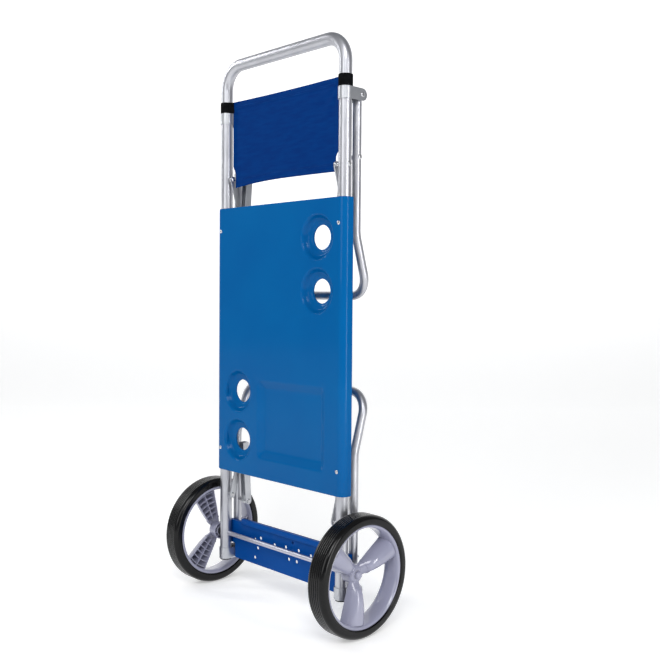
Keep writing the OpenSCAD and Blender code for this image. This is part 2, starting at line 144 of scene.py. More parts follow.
def mirrored(part):
    """The part and its mirror image across the middle of the cart."""
    return join(part, moved(part, Matrix.Diagonal((-1, 1, 1, 1))))


def mesh_object(name, part, material, smooth_below=None):
    """An object at the origin with its doubles merged and its faces turned outwards."""
    points, faces = part
    mesh = bpy.data.meshes.new(name)
    face_lists = [face for array in faces for face in array.tolist()]
    mesh.from_pydata((points * MM).tolist(), [], face_lists)
    shape = bmesh.new()
    shape.from_mesh(mesh)
    bmesh.ops.remove_doubles(shape, verts=shape.verts, dist=MERGE)
    bmesh.ops.recalc_face_normals(shape, faces=shape.faces)
    shape.to_mesh(mesh)
    shape.free()
    if smooth_below:
        mesh.shade_smooth()
        mesh.set_sharp_from_angle(angle=math.radians(smooth_below))
    mesh.materials.append(material)
    obj = bpy.data.objects.new(name, mesh)
    bpy.context.scene.collection.objects.link(obj)
    return obj


def piece(name, part, slot, body, nodes=(), smooth_below=None, edge=None, material=None):
    """A finished piece: it rides on its body and stands for the nodes named. Its edges are rounded by
    edge, in mm, and it is shaded smooth across angles below smooth_below, in degrees."""
    obj = mesh_object(name, part, material or FINISHES[slot], smooth_below)
    if edge:
        bevel = obj.modifiers.new("rounded edges", "BEVEL")
        bevel.width = edge * MM
        bevel.segments = 2
        bevel.limit_method = "ANGLE"
        bevel.angle_limit = math.radians(40)
    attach(obj, body)
    if nodes:
        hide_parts(*nodes)
    return obj


def eased(x, low, high):
    """0 below low, 1 above high, and a smooth step 3t^2 - 2t^3 between."""
    t = np.clip((x - low) / (high - low), 0, 1)
    return t * t * (3 - 2 * t)


def circle(cx, cz, radius, count):
    """Points at even angles: centre + radius (cos a, sin a)."""
    a = np.linspace(0, TURN, count, endpoint=False)
    return np.stack([cx + radius * np.cos(a), cz + radius * np.sin(a)], axis=1)


def rounded_loop(corners, radius, steps=5):
    """A closed outline whose corners are cut by a quadratic curve that starts and ends radius away."""
    corners = np.array(corners, float)
    before = np.roll(corners, 1, axis=0) - corners
    after = np.roll(corners, -1, axis=0) - corners
    start = corners + radius * before / np.linalg.norm(before, axis=1, keepdims=True)
    end = corners + radius * after / np.linalg.norm(after, axis=1, keepdims=True)
    t = np.linspace(0, 1, steps)[None, :, None]
    curve = start[:, None] * (1 - t) ** 2 + corners[:, None] * 2 * t * (1 - t) + end[:, None] * t**2
    return curve.reshape(-1, 2)


def refined(loop, step):
    """The same closed outline with points added evenly, so that no edge is longer than step."""
    following = np.roll(loop, -1, axis=0)
    counts = np.ceil(np.linalg.norm(following - loop, axis=1) / step).astype(int).clip(1)
    place = np.arange(counts.sum()) - np.repeat(counts.cumsum() - counts, counts)
    share = (place / np.repeat(counts, counts))[:, None]
    return np.repeat(loop, counts, axis=0) + share * np.repeat(following - loop, counts, axis=0)


def rectangle(cx, cz, width, height):
    """Its four corners, half a width and half a height from the centre."""
    signs = np.array([(1, 1), (-1, 1), (-1, -1), (1, -1)])
    return np.array((cx, cz)) + signs * np.array((width, height)) / 2


def cut_sheet(loops, loose, keep):
    """Triangles between closed loops and loose points, kept where keep(their middles) says."""
    starts = np.cumsum([0] + [len(loop) for loop in loops])
    around = [np.stack([np.arange(len(p)), (np.arange(len(p)) + 1) % len(p)], 1) for p in loops]
    edges = np.concatenate([start + ring for start, ring in zip(starts, around)])
    given = np.concatenate(loops + [loose])
    closest = 1e-5
    made, _, triangles, *_ = delaunay_2d_cdt(given.tolist(), edges.tolist(), [], 0, closest)
    made, triangles = np.array(made), np.array(triangles)
    triangles = triangles[keep(*made[triangles].mean(axis=1).T)]
    used, index = np.unique(triangles, return_inverse=True)
    return made[used], index.reshape(-1, 3)


def plate(front, back, triangles):
    """Two copies of a cut sheet, joined along every open edge into one closed skin."""
    edges = np.concatenate([triangles[:, [0, 1]], triangles[:, [1, 2]], triangles[:, [2, 0]]])
    ordered = np.sort(edges, axis=1)
    _, index, count = np.unique(ordered, axis=0, return_index=True, return_counts=True)
    rim = edges[index[count == 1]]
    walls = np.stack([rim[:, 1], rim[:, 0], rim[:, 0] + len(front), rim[:, 1] + len(front)], axis=1)
    return np.concatenate([front, back]), [triangles, triangles[:, ::-1] + len(front), walls]


# ---- Finishes ----


def linear(hex_colour):
    """sRGB hex as linear RGBA, by the sRGB standard's own curve."""
    channels = [int(hex_colour[i : i + 2], 16) / 255 for i in (1, 3, 5)]
    curve = [c / 12.92 if c <= 0.04045 else ((c + 0.055) / 1.055) ** 2.4 for c in channels]
    return (*curve, 1.0)


def add(material, kind, sockets, **settings):
    """One node, with its settings, and its sockets set or linked. Returns it."""
    tree = material.node_tree
    node = tree.nodes.new(kind)
    for name, value in settings.items():
        setattr(node, name, value)
    for key, value in sockets.items():
        if isinstance(value, bpy.types.NodeSocket):
            tree.links.new(value, node.inputs[key])
        else:
            node.inputs[key].default_value = value
    return node


def finish(name, roughness, metallic=0.0, specular=0.5):
    """A new material and its shader, with the values that don't vary over it."""
    material = bpy.data.materials.new(name)
    material.use_nodes = True
    shader = material.node_tree.nodes["Principled BSDF"]
    shader.inputs["Roughness"].default_value = roughness
    shader.inputs["Metallic"].default_value = metallic
    shader.inputs["Specular IOR Level"].default_value = specular
    return material, shader


def per_metre(size_mm):
    """Scale of a pattern whose patches are size_mm across."""
    return 1 / (size_mm * MM)


NOISE_RANGE = {"From Min": 0.3, "From Max": 0.7}  # where nearly all of a noise pattern's values lie


def clouded(material, shader, place, size_mm, dark, light):
    """The colour drifts between two tones in soft patches about size_mm across. Returns the patches."""
    patches = add(
        material, "ShaderNodeTexNoise", {"Vector": place, "Scale": per_metre(size_mm), "Detail": 3.0}
    )
    spread = add(material, "ShaderNodeMapRange", {"Value": patches.outputs["Fac"], **NOISE_RANGE})
    mix = add(
        material, "ShaderNodeMix",
        {0: spread.outputs["Result"], 6: linear(dark), 7: linear(light)}, data_type="RGBA",
    )
    material.node_tree.links.new(mix.outputs[2], shader.inputs["Base Color"])
    return patches.outputs["Fac"]


OXIDE_MM = 60.0  # patches of dull oxide on bare and plated metal


def drawn_metal(name, dark, light, rough, grain_mm, stretch, depth_mm):
    """Rolled, drawn or plated metal: fine grain stretched along the draw gives streaky reflections,
    and slow clouds of oxide dull the shine here and there. Grain is drawn about five times too coarse."""
    material, shader = finish(name, rough[0], metallic=1.0)
    where = add(material, "ShaderNodeTexCoord", {})
    along = add(material, "ShaderNodeMapping", {"Vector": where.outputs["Object"], "Scale": stretch})
    clouded(material, shader, where.outputs["Object"], OXIDE_MM, dark, light)
    grain = add(
        material, "ShaderNodeTexNoise",
        {"Vector": along.outputs["Vector"], "Scale": per_metre(grain_mm), "Detail": 2.0},
    )
    shine = add(
        material, "ShaderNodeMapRange",
        {"Value": grain.outputs["Fac"], **NOISE_RANGE, "To Min": rough[0], "To Max": rough[1]},
    )
    relief = add(
        material, "ShaderNodeBump",
        {"Height": grain.outputs["Fac"], "Strength": 0.4, "Distance": depth_mm * MM},
    )
    material.node_tree.links.new(shine.outputs["Result"], shader.inputs["Roughness"])
    material.node_tree.links.new(relief.outputs["Normal"], shader.inputs["Normal"])
    return material


FLOW_MM, MARKS_MM, PEEL_MM = 180.0, 35.0, 2.2  # flow clouds, handling marks, dimples of orange peel


def moulded_plastic(name, dark, light, rough, specular, coat, peel_mm):
    """Injection-moulded plastic: flow clouds in the colour, an orange-peel skin peel_mm deep that breaks
    up highlights, and handling marks that change the gloss. The peel is drawn coarser than a real one."""
    material, shader = finish(name, rough, specular=specular)
    where = add(material, "ShaderNodeTexCoord", {})
    clouded(material, shader, where.outputs["Object"], FLOW_MM, dark, light)
    marks = add(
        material, "ShaderNodeTexNoise",
        {"Vector": where.outputs["Object"], "Scale": per_metre(MARKS_MM), "Detail": 4.0},
    )
    gloss = add(
        material, "ShaderNodeMapRange",
        {"Value": marks.outputs["Fac"], **NOISE_RANGE, "To Min": rough - 0.04, "To Max": rough + 0.07},
    )
    peel = add(
        material, "ShaderNodeTexNoise",
        {"Vector": where.outputs["Object"], "Scale": per_metre(PEEL_MM), "Detail": 2.0},
    )
    relief = add(
        material, "ShaderNodeBump",
        {"Height": peel.outputs["Fac"], "Strength": 0.6, "Distance": peel_mm * MM},
    )
    material.node_tree.links.new(gloss.outputs["Result"], shader.inputs["Roughness"])
    material.node_tree.links.new(relief.outputs["Normal"], shader.inputs["Normal"])
    shader.inputs["Coat Weight"].default_value = coat
    shader.inputs["Coat Roughness"].default_value = 0.1
    return material


SLUB_MM = 6.0  # thick places in the yarn
WAVE_RATE = 20  # a wave pattern of scale 1 goes through this many radians in a metre


def woven_cloth(name, dark, light, pitch_mm, depth_mm, rough):
    """Plain weave: warp and weft are two crossed waves one thread pair apart, and uneven yarn gives slubs.
    The pitch is about twice the real one, so that the threads show."""
    material, shader = finish(name, rough, specular=0.03)
    where = add(material, "ShaderNodeTexCoord", {})
    threads = [
        add(
            material, "ShaderNodeTexWave",
            {
                "Vector": where.outputs["Object"],
                "Scale": TURN / (WAVE_RATE * pitch_mm * MM),
                "Distortion": 0.5,
            },
            bands_direction=direction,
        ).outputs["Fac"]
        for direction in ("X", "Z")
    ]
    weave = add(material, "ShaderNodeMath", {0: threads[0], 1: threads[1]}, operation="MULTIPLY")
    slubs = add(
        material, "ShaderNodeMapping", {"Vector": where.outputs["Object"], "Scale": (0.2, 1, 1)}
    )
    yarn = clouded(material, shader, slubs.outputs["Vector"], SLUB_MM, dark, light)
    height = add(material, "ShaderNodeMath", {0: weave.outputs[0], 1: yarn}, operation="ADD")
    relief = add(
        material, "ShaderNodeBump",
        {"Height": height.outputs[0], "Strength": 0.7, "Distance": depth_mm * MM},
    )
    material.node_tree.links.new(relief.outputs["Normal"], shader.inputs["Normal"])
    return material


BLOOM_MM, PIT_MM, PIT_DEPTH_MM = 30.0, 0.8, 0.03  # dry patches on rubber, and the pits in its skin


def moulded_rubber(name, dark, light):
    """Carbon-black rubber: a dry bloom in patches lightens and dulls it, over a fine pitted skin whose
    pits are drawn coarser than real ones."""
    material, shader = finish(name, 0.3, specular=0.28)
    where = add(material, "ShaderNodeTexCoord", {})
    bloom = clouded(material, shader, where.outputs["Object"], BLOOM_MM, dark, light)
    dull = add(
        material, "ShaderNodeMapRange", {"Value": bloom, **NOISE_RANGE, "To Min": 0.14, "To Max": 0.26}
    )
    pits = add(
        material, "ShaderNodeTexNoise",
        {"Vector": where.outputs["Object"], "Scale": per_metre(PIT_MM), "Detail": 2.0},
    )
    relief = add(
        material, "ShaderNodeBump",
        {"Height": pits.outputs["Fac"], "Strength": 0.3, "Distance": PIT_DEPTH_MM * MM},
    )
    material.node_tree.links.new(dull.outputs["Result"], shader.inputs["Roughness"])
    material.node_tree.links.new(relief.outputs["Normal"], shader.inputs["Normal"])
    return material


# how a metal's grain is stretched: along the upright tubes, along the axle, or not at all
ALONG_Z, ALONG_X, EVEN = (1, 1, 0.04), (0.04, 1, 1), (1, 1, 1)
FINISHES = {
    # drawn and etched: broad soft highlights that run the length of the tube
    "tube": drawn_metal(
        "satin aluminium tube", "#b0b1b7", "#c6c7cc",
        rough=(0.32, 0.44), grain_mm=1.2, stretch=ALONG_Z, depth_mm=0.003,
    ),
    # pressed steel, barrel plated: an even, slightly mottled grey shine
    "bracket": drawn_metal(
        "zinc plated sheet", "#b4b6bb", "#cacccf",
        rough=(0.34, 0.46), grain_mm=4.0, stretch=EVEN, depth_mm=0.004,
    ),
    # rolled and punched: a fine grain along the strip
    "stay": drawn_metal(
        "satin aluminium strip", "#bcbec3", "#d0d2d6",
        rough=(0.34, 0.46), grain_mm=0.8, stretch=ALONG_Z, depth_mm=0.004,
    ),
    # cold headed and plated: the brightest metal, with small sharp highlights
    "steel": drawn_metal(
        "bright zinc rivet", "#bfc0c3", "#dcdcde",
        rough=(0.18, 0.32), grain_mm=1.5, stretch=EVEN, depth_mm=0.006,
    ),
    # cold drawn: streaks along the rod
    "axle_steel": drawn_metal(
        "drawn steel rod", "#bcbdc8", "#d0d1dc",
        rough=(0.36, 0.46), grain_mm=0.9, stretch=ALONG_X, depth_mm=0.006,
    ),
    # moulded in a lightly polished tool: a deep even blue, with a highlight only at its bends
    "board": moulded_plastic(
        "blue polypropylene board", "#005492", "#005b98",
        rough=0.34, specular=0.01, coat=0.18, peel_mm=0.002,
    ),
    # the same plastic from a plainer tool: darker and flatter
    "platform": moulded_plastic(
        "deep blue polypropylene", "#00418a", "#004a96",
        rough=0.36, specular=0.06, coat=0.0, peel_mm=0.004,
    ),
    # woven, dyed and coated on its back: matt, with a hint of the threads
    "panel_fabric": woven_cloth(
        "navy coated polyester", "#002c6c", "#003374", pitch_mm=1.0, depth_mm=0.05, rough=0.7
    ),
    # thick flat weave: nearly black, with coarse ribs
    "webbing": woven_cloth(
        "black woven webbing", "#08090b", "#111215", pitch_mm=1.6, depth_mm=0.2, rough=0.8
    ),
    # moulded with a fine texture: a dull dark grey
    "black_plastic": moulded_plastic(
        "dark grey nylon", "#2c2d30", "#36373a", rough=0.5, specular=0.4, coat=0.0, peel_mm=0.01
    ),
    # moulded in a polished tool: crisp highlights on the petals
    "wheel_plastic": moulded_plastic(
        "lavender grey polypropylene", "#8f90a5", "#999aae",
        rough=0.2, specular=0.5, coat=0.6, peel_mm=0.001,
    ),
    # undyed: a waxy off-white
    "bush": moulded_plastic(
        "natural nylon", "#c4c4bd", "#d2d2cb", rough=0.45, specular=0.4, coat=0.0, peel_mm=0.01
    ),
    # cured in a bright mould: near black, with a sheen on the tread's rounds
    "tyre": moulded_rubber("moulded tyre rubber", "#030304", "#080809"),
}
THREAD = woven_cloth("navy sewing thread", "#0a2c66", "#17458c", pitch_mm=0.6, depth_mm=0.05, rough=0.7)

# matt white paper, lit a little more the higher it is, so that it stays pale behind the whole cart
PAPER, paper_shader = finish("pale studio paper", 0.9, specular=0.1)
paper_shader.inputs["Base Color"].default_value = linear("#f4f4f3")
paper_shader.inputs["Emission Color"].default_value = (1.0, 1.0, 1.0, 1.0)
paper_place = add(PAPER, "ShaderNodeTexCoord", {})
paper_height = add(PAPER, "ShaderNodeSeparateXYZ", {0: paper_place.outputs["Object"]})
glow = add(
    PAPER, "ShaderNodeMapRange",
    {"Value": paper_height.outputs["Z"], "From Min": 0.0, "From Max": 1.2, "To Min": 0.34, "To Max": 0.6},
)
PAPER.node_tree.links.new(glow.outputs["Result"], paper_shader.inputs["Emission Strength"])


def dress_packed_nodes():
    """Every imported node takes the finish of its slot."""
    for part in frame["record"]["subparts"]:
        for slot in frame["nodes"][part["node"]].material_slots:
            slot.material = FINISHES[part["material_slot"]]


# ---- Camera and studio ----


def make_camera():
    """A long lens a little above the middle of the cart, in front of it and to its right."""
    forward = Vector((
        -math.sin(VIEW_AZIMUTH) * math.cos(VIEW_TILT),
        math.cos(VIEW_AZIMUTH) * math.cos(VIEW_TILT),
        -math.sin(VIEW_TILT),
    ))
    level = forward.cross(Vector((0, 0, 1))).normalized()
    upright = level.cross(forward)
    right = level * math.cos(VIEW_ROLL) + upright * math.sin(VIEW_ROLL)
    up = upright * math.cos(VIEW_ROLL) - level * math.sin(VIEW_ROLL)
    data = bpy.data.cameras.new("camera")
    data.sensor_width, data.lens = SENSOR_MM, LENS_MM
    camera = bpy.data.objects.new("camera", data)
    bpy.context.scene.collection.objects.link(camera)
    turn = Matrix((right, up, -forward)).transposed().to_4x4()
    camera.matrix_world = Matrix.Translation(CAMERA_PLACE) @ turn
    bpy.context.scene.camera = camera


def soft_box(name, place, aim, size, watts):
    """A flat light of a real size, in metres, that faces its aim."""
    data = bpy.data.lights.new(name, "AREA")
    data.shape = "RECTANGLE"
    data.size, data.size_y = size
    data.energy = watts
    light = bpy.data.objects.new(name, data)
    bpy.context.scene.collection.objects.link(light)
    light.location = place
    light.rotation_euler = (Vector(aim) - Vector(place)).to_track_quat("-Z", "Y").to_euler()


def make_studio():
    """A pale floor that curves up behind the cart by a quarter circle, four soft boxes and a dim room."""
    bend = np.linspace(0, math.pi / 2, 24)
    front, start, radius, top, half_width, under = -5000, 3200, 1400, 6000, 9000, -0.5
    back = np.concatenate([[front], start + radius * np.sin(bend), [start + radius]])
    up = np.concatenate([[under], radius - radius * np.cos(bend) + under, [top]])
    away = np.array((-math.sin(VIEW_AZIMUTH), math.cos(VIEW_AZIMUTH), 0))
    across = np.array((math.cos(VIEW_AZIMUTH), math.sin(VIEW_AZIMUTH), 0))
    rows = back[:, None] * away + up[:, None] * np.array((0, 0, 1))
    sweep = rows[:, None] + np.array((-half_width, half_width))[None, :, None] * across
    mesh_object("backdrop", grid(sweep), PAPER, 60)

    middle = (0, 0, 0.6)
    soft_box("key box, high right", (2.3, -2.2, 3.0), middle, (1.5, 1.5), 62)
    soft_box("front box", (0.4, -3.3, 1.7), middle, (1.6, 2.0), 26)
    soft_box("side box", (3.2, -0.1, 0.9), (0, 0, 0.5), (0.5, 2.2), 36)
    soft_box("left strip", (-2.3, -1.2, 2.1), (0, 0, 0.3), (0.25, 1.6), 17)

    world = bpy.data.worlds.new("dim room")
    world.use_nodes = True
    room = world.node_tree.nodes["Background"]
    room.inputs["Color"].default_value = (0.93, 0.95, 1.0, 1.0)
    room.inputs["Strength"].default_value = 0.3
    scene = bpy.context.scene
    scene.world = world
    scene.view_settings.view_transform = "Standard"
    scene.view_settings.look = "None"


# ---- Table board ----

BOARD_LOW, BOARD_HIGH = box("table_board")
BOARD_FACE = -BOARD_LOW[1]  # radius of the moulding round the main tubes
BOARD_MID = (BOARD_LOW[2] + BOARD_HIGH[2]) / 2
BOARD_BOTTOM, BOARD_TOP = BOARD_LOW[2] + 3.2, BOARD_HIGH[2] - 1.6  # the moulding's trimmed edges
BOARD_SKIN = 3.0
QUARTER = BOARD_FACE * math.pi / 2  # length of a quarter turn along the face
BOARD_HALF = TUBE_X + QUARTER + BOARD_HIGH[1]
EDGE_ROUND = 1.4
SCREW_INSET = 52.5
MOUNTS = {mount["name"]: np.array(mount["pos_m"]) / MM for mount in frame["record"]["mounts"]}
CUPS = np.array([MOUNTS[f"cup_hole_{i}"][[0, 2]] for i in range(1, 5)])
# dished recess, from its hole to the face: (radius, depth)
CUP_PROFILE = np.array([
    (25, 15.5), (27, 15.3), (28.4, 14.7), (29.8, 13.9), (31.5, 13.5), (33.5, 13.2), (36, 12.6), (38, 11.6),
    (39.8, 9.8), (41.4, 7.4), (42.8, 4.9), (44, 2.8), (45.2, 1.3), (46.6, 0.4), (48, 0),
])
TRAY_MIDDLE, TRAY_SIZE, TRAY_CORNER = (47, 396), (210, 170), 12  # centre (x, z) and size (x, z)
# sloping wall of the tray: (distance in from its edge, depth)
TRAY_PROFILE = np.array([
    (-2, 0), (-0.5, 0.1), (1, 0.5), (3, 1.5), (14, 7.6), (16, 8.4), (18, 8.9), (20, 9.0),
])


def from_cups(u, z):
    """Distance to the middle of the nearest cup recess."""
    return np.hypot(u[..., None] - CUPS[:, 0], z[..., None] - CUPS[:, 1]).min(axis=-1)


def inside_tray(u, z):
    """How far a point lies inside the tray's rounded rectangle, negative outside it."""
    du = np.abs(u - TRAY_MIDDLE[0]) - (TRAY_SIZE[0] / 2 - TRAY_CORNER)
    dz = np.abs(z - TRAY_MIDDLE[1]) - (TRAY_SIZE[1] / 2 - TRAY_CORNER)
    past = np.hypot(np.maximum(du, 0), np.maximum(dz, 0))
    return TRAY_CORNER - past - np.minimum(np.maximum(du, dz), 0)


def board_depth(u, z):
    """How far the moulding is sunk: the deeper of the cup's profile and the tray's."""
    cup = np.interp(from_cups(u, z), *CUP_PROFILE.T)
    return np.maximum(cup, np.interp(inside_tray(u, z), *TRAY_PROFILE.T))


def on_board(u, z, depth):
    """The flat moulding wrapped round the main tubes: u runs along its cross-section, a quarter turn of
    the face's radius less depth at each side, then straight back."""
    past = np.maximum(np.abs(u) - TUBE_X, 0)
    angle = np.minimum(past, QUARTER) / BOARD_FACE
    radius = BOARD_FACE - depth
    x = np.where(past > 0, np.sign(u) * (TUBE_X + radius * np.sin(angle)), u)
    y = np.where(past > 0, np.maximum(past - QUARTER, 0) - radius * np.cos(angle), -radius)
    return np.stack([x, y, z], axis=1)


def make_board():
    """The moulding, cut flat with its holes and then wrapped and sunk, and the ribs on its back."""
    middle, height = (BOARD_BOTTOM + BOARD_TOP) / 2, BOARD_TOP - BOARD_BOTTOM
    corner, edge_step = 2.0, 3.0
    # each recess has one more loop just outside it, so that the face stays flat up to its edge
    loops = [
        refined(
            rounded_loop(
                rectangle(0, middle, 2 * (BOARD_HALF - inset), height - 2 * inset), corner
            ),
            edge_step,
        )
        for inset in (0, 0.2, 0.6, 1.0, EDGE_ROUND)
    ]
    loops += [circle(*cup, r, 72) for cup in CUPS for r in np.append(CUP_PROFILE[:, 0], 49)]
    width, tall = TRAY_SIZE
    loops += [
        rounded_loop(
            rectangle(*TRAY_MIDDLE, width - 2 * inset, tall - 2 * inset), max(21 - inset, 3), 9
        )
        for inset in np.append(TRAY_PROFILE[:, 0], -3)
    ]
    # loose points fill the field between the loops, closer together round the wrapped sides
    rows = np.linspace(BOARD_BOTTOM + 5, BOARD_TOP - 5, 45)
    wrap = TUBE_X + QUARTER * np.linspace(0, 1, 13)
    field = np.linspace(14 - TUBE_X, TUBE_X - 14, 27)
    u, z = np.meshgrid(np.concatenate([-wrap, [1 - TUBE_X], field, [TUBE_X - 1], wrap]), rows)
    sunk = inside_tray(u, z)
    clear = (from_cups(u, z) > 52) & ((sunk < -5) | (sunk > 23))
    points, triangles = cut_sheet(
        loops, np.stack([u[clear], z[clear]], axis=1),
        lambda u, z: from_cups(u, z) > CUP_PROFILE[0, 0] * 0.995,
    )
    u, z = points.T
    depth = board_depth(u, z)
    turn = np.clip(EDGE_ROUND - np.minimum(z - BOARD_BOTTOM, BOARD_TOP - z), 0, EDGE_ROUND)
    rounding = EDGE_ROUND - np.sqrt(EDGE_ROUND**2 - turn**2)
    front, back = on_board(u, z, depth + rounding), on_board(u, z, depth + BOARD_SKIN)
    moulding = plate(front, back, triangles)
    piece("table_board_moulding", moulding, "board", "root", ["table_board"], smooth_below=38)

    # ribs on the back, clear of the recesses: level ones, half-width ones, upright ones and the sides
    low, high, side, t = BOARD_BOTTOM + 3, BOARD_TOP - 3, 168, 1.1
    spans = [(-side, side, z - t, z + t) for z in (low, high, BOARD_MID - 30, BOARD_MID + 30)]
    spans += [(-side, 0, z - t, z + t) for z in (BOARD_MID + 115, BOARD_MID + 205)]
    spans += [(x - t, x + t, BOARD_MID + 30, high) for x in (-70, 0)]
    spans += [(x - t, x + t, low, high) for x in (-side, side)]
    near, reach = BOARD_SKIN - BOARD_FACE - 0.5, 9.5
    board_ribs = ribs(spans, near, near + reach)
    piece("table_board_ribs", board_ribs, "board", "root", edge=0.5)


# ---- Screws and rivets ----

HEAD_R, HEAD_H, SHANK_R, SHOULDER_R = 5.0, 1.8, 2.5, 4.5
SCREW_R, SCREW_H = 3.9, 1.2
# half a domed head, from its rim to its top: (radius, share of the head's height)
DOME = np.array([
    (HEAD_R, 0), (HEAD_R, 0.25), (4.75, 0.45), (4.1, 0.7), (2.9, 0.88), (1.5, 0.97), (0, 1),
])


def cross_screw(radius, height):
    """A domed head on the X axis, x = h sqrt(1 - 0.97 (r/R)^2), with a cross cut into it where |y| or
    |z| is small."""
    r = np.concatenate([[0, radius], np.linspace(radius, 0, 14)])[:, None]
    a = np.linspace(0, TURN, 48, endpoint=False)[None, :]
    y, z = r * np.cos(a), r * np.sin(a)
    cross = (np.minimum(np.abs(y), np.abs(z)) < 0.14 * radius) & (r < 0.62 * radius)
    x = height * np.sqrt(1 - 0.97 * (r / radius) ** 2) - np.where(cross, 0.5 * height, 0)
    x[:2] = -0.8  # the hidden underside
    return grid(np.stack([x, y, z], axis=-1), close_columns=True)


def make_board_screws():
    """Four screw heads in the board's face, over the main tubes."""
    face_out = Matrix.Rotation(math.radians(-90), 4, "Z")
    heads = [
        moved(cross_screw(SCREW_R, SCREW_H), Matrix.Translation((TUBE_X, -BOARD_FACE, z)) @ face_out)
        for z in (BOARD_LOW[2] + SCREW_INSET, BOARD_HIGH[2] - SCREW_INSET)
    ]
    heads = mirrored(join(*heads))
    piece("board_screw_heads", heads, "steel", "root", ["board_screws"], smooth_below=30)


def rivet(start, end, shoulder=(), inner_head=True):
    """A rivet along X: domed head, shank with its shoulder, domed head."""
    low_head = np.stack([DOME[::-1, 0], start + HEAD_H * (1 - DOME[::-1, 1])], axis=1)
    if not inner_head:
        low_head = np.array([(0, start)])
    high_head = np.stack([DOME[:, 0], end - HEAD_H * (1 - DOME[:, 1])], axis=1)
    step = list(zip((SHANK_R, SHOULDER_R, SHOULDER_R, SHANK_R), np.repeat(shoulder, 2)))
    shank = [(SHANK_R, low_head[-1, 1])] + step + [(SHANK_R, high_head[0, 1])]
    return turned(np.concatenate([low_head, shank, high_head]), 40, False)


def make_rivets():
    """Rivets of the leg pivots and of the stays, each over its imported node. Starts, ends and shoulders
    are distances from the middle of the cart."""
    kinds = {
        "pivot": ("root", rivet(171.05, 204.95)),
        "stay": ("root", rivet(161.6, 202.9, (166.6, 174.9))),
        "link": (None, rivet(144.6, 198.9, (162.6, 178.9))),
    }
    knee = rivet(163.6, 168.35, inner_head=False)
    for end in ("upper", "lower"):
        for kind, (body, shape) in kinds.items():
            node = f"{end}_{kind}_rivets"
            _, y, z = sum(box(node)) / 2
            placed = mirrored(moved(shape, Matrix.Translation((0, y, z))))
            piece(f"{node}_domed", placed, "steel", body or f"{end}_leg", [node], smooth_below=35)
        for side, sign in (("left", -1), ("right", 1)):
            node = f"{end}_knee_rivet_{side}"
            _, y, z = sum(box(node)) / 2
            placed = moved(knee, Matrix.Translation((0, y, z)) @ Matrix.Diagonal((sign, 1, 1, 1)))
            piece(f"{node}_domed", placed, "steel", f"{end}_arm_{side}", [node], smooth_below=35)


# ---- Wheels, built round the X axis with the outer face towards +X ----

TYRE_LOW, TYRE_HIGH = box("tyre_right")
WHEEL_X, _, AXLE_Z = (TYRE_LOW + TYRE_HIGH) / 2
WHEEL_R = (TYRE_HIGH[2] - TYRE_LOW[2]) / 2
HUB_IN = box("rim_right")[0][0] - WHEEL_X
# petal spokes: (radius, half width, height of the ridge outwards from the wheel's middle)
PETAL = np.array([
    (8, 11, -5), (14, 12, -3), (20, 13.5, 1), (27, 15, 6.5), (36, 17, 11), (48, 19.5, 14),
    (65, 22.5, 16), (80, 25, 16.8), (93.5, 28, 16.5),
]).T
PETAL_BACK, PETAL_SKIN = -13.0, 2.2
LONG_RIB_HALF, CROSS_RIB_HALF = 0.9, 0.8
CROSS_RIBS = (37, 49, 61, 73, 85)  # their radii at the petal's edges
BOW = 0.05  # how far out a cross rib bows at its middle, as a share of its radius


def petal_point(r, s, inset=0.0):
    """Skin of a petal at radius r and s across, -1 to 1: half width and ridge follow PETAL, and the section
    rises from the back edge as (1 - |s|^2.1)^0.52."""
    half = np.interp(r, PETAL[0], PETAL[1]) - inset
    ridge = np.interp(r, PETAL[0], PETAL[2]) - inset
    rise = np.clip(1 - np.abs(s) ** 2.1, 0, 1) ** 0.52
    x, z = PETAL_BACK + (ridge - PETAL_BACK) * rise, half * s
    return np.stack(np.broadcast_arrays(x, r, z), axis=-1)


def petal():
    """One hollow petal along +Y: skin, a rib along it, cross ribs in bows, and the collar at its neck."""
    across = np.sin(np.linspace(-math.pi / 2, math.pi / 2, 31))
    along = np.linspace(PETAL[0, 0], PETAL[0, -1], 36)
    r, s = along[:, None], across[None, :]
    parts = [shell(petal_point(r, s), petal_point(r, s, PETAL_SKIN))]

    spine = petal_point(along, np.zeros_like(along), 1.0)
    foot = spine * np.array((0, 1, 1)) + np.array((PETAL_BACK + 1, 0, 0))
    rib = np.stack([foot, spine], axis=1)[8:]
    half = np.array((0, 0, LONG_RIB_HALF))
    parts.append(shell(rib - half, rib + half))

    inner, half = across[2:-2], np.array((0, CROSS_RIB_HALF, 0))
    for radius in CROSS_RIBS:
        top = petal_point(radius * (1 + BOW * (1 - inner**2)), inner, 1.0)
        foot = top * np.array((0, 1, 1)) + np.array((PETAL_BACK + 1.5, 0, 0))
        rib = np.stack([np.minimum(foot, top), top], axis=1)
        rib[:, 0, 1:] = top[:, 1:]
        parts.append(shell(rib - half, rib + half))

    collar_r = np.array([23.0, 23.6, 26.4, 27.2])[:, None]
    proud = np.array([-0.4, 1.1, 1.1, -0.4])[:, None]
    parts.append(shell(petal_point(collar_r, s, -proud), petal_point(collar_r, s, 0.9)))
    return join(*parts)


